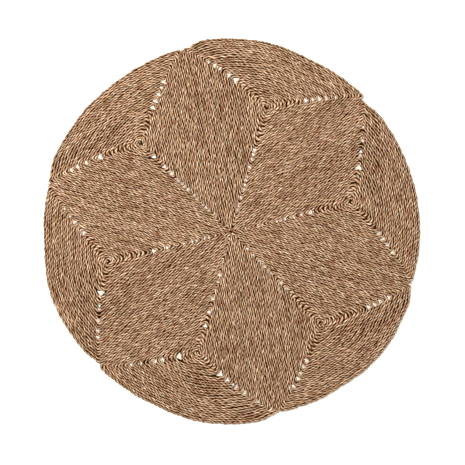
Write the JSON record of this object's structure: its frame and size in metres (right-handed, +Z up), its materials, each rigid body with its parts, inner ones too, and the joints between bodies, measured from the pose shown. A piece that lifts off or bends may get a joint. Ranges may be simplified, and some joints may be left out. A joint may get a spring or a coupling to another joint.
{
  "type": "round rug",
  "caption": "Round seagrass rug of coiled twisted cord, wound in wedge-shaped petals that meet at the centre, with open folds along the mitres.",
  "frame": {"origin": "middle of the rug's outline, on the floor it lies on", "axes": "+Z up through the rug's thickness; +X and +Y in the floor, as the picture's right and top"},
  "size_m": [1.188, 1.218, 0.0068],
  "materials": {
    "seagrass": "natural two-ply twisted seagrass cord, matt"
  },
  "bodies": {
    "root": {"petal_1": "seagrass", "petal_2": "seagrass", "petal_3": "seagrass", "petal_4": "seagrass", "petal_5": "seagrass", "petal_6": "seagrass"}
  },
  "joints": []
}
